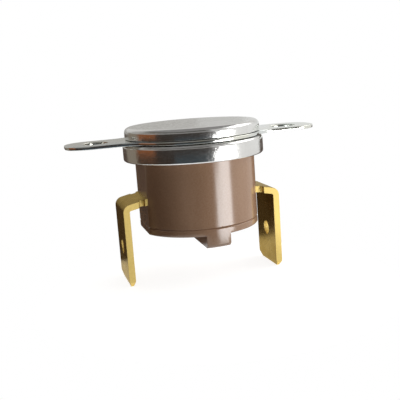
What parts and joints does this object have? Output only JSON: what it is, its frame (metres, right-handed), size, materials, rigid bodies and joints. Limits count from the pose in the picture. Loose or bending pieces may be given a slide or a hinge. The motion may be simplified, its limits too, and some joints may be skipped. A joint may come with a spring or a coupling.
{
  "type": "bimetal thermostat",
  "caption": "Disc thermostat with a crimped metal sensing cap, a loose flange with screw ears, a round moulded housing and blade terminals bent down; its disc snaps over and opens a contact.",
  "frame": {"origin": "on the thermostat's axis in the plane of the flange's underside, midway between the screw holes", "axes": "+X through the screw holes and the right terminal, +Z along the axis towards the sensing face, -Y towards the viewer of the picture"},
  "size_m": [0.0314, 0.0174, 0.019],
  "materials": {
    "cap_aluminium": "bright drawn",
    "plated_steel": "bright zinc plating",
    "bimetal": "rolled",
    "guide_phenolic": "moulded",
    "pin_ceramic": "matt",
    "housing_phenolic": "moulded, satin gloss",
    "cover_phenolic": "moulded, satin gloss",
    "terminal_brass": "rolled",
    "rivet_brass": "turned",
    "arm_bronze": "rolled",
    "contact_silver": "plain"
  },
  "bodies": {
    "case": {"sensing_cap": "cap_aluminium", "bimetal_disc": "bimetal", "pin_guide_plate": "guide_phenolic", "housing": "housing_phenolic", "base_cover": "cover_phenolic", "left_terminal": "terminal_brass", "right_terminal": "terminal_brass", "left_rivet": "rivet_brass", "right_rivet": "rivet_brass", "fixed_contact": "contact_silver"},
    "flange": {"mounting_flange": "plated_steel"},
    "pin": {"transfer_pin": "pin_ceramic"},
    "arm": {"contact_arm": "arm_bronze", "moving_contact": "contact_silver"}
  },
  "joints": [
    {"name": "flange_swivel", "type": "hinge", "parent": "case", "child": "flange", "pos_m": [0, 0, 0.0002], "axis": [0, 0, 1], "continuous": true},
    {"name": "pin_slide", "type": "slide", "parent": "case", "child": "pin", "axis": [0, 0, -1], "range_m": [0, 0.00034], "stiffness_N_per_m": 200, "springref_m": -0.0005, "deforming": ["bimetal_disc"]},
    {"name": "arm_flex", "type": "hinge", "parent": "case", "child": "arm", "pos_m": [-0.003, 0, -0.0074], "axis": [0, 1, 0], "range_deg": [0, 7], "deforming": ["contact_arm"]}
  ],
  "couplings": [
    {"joint": "arm_flex", "follows": "pin_slide", "rad_per_m": 333.3}
  ]
}
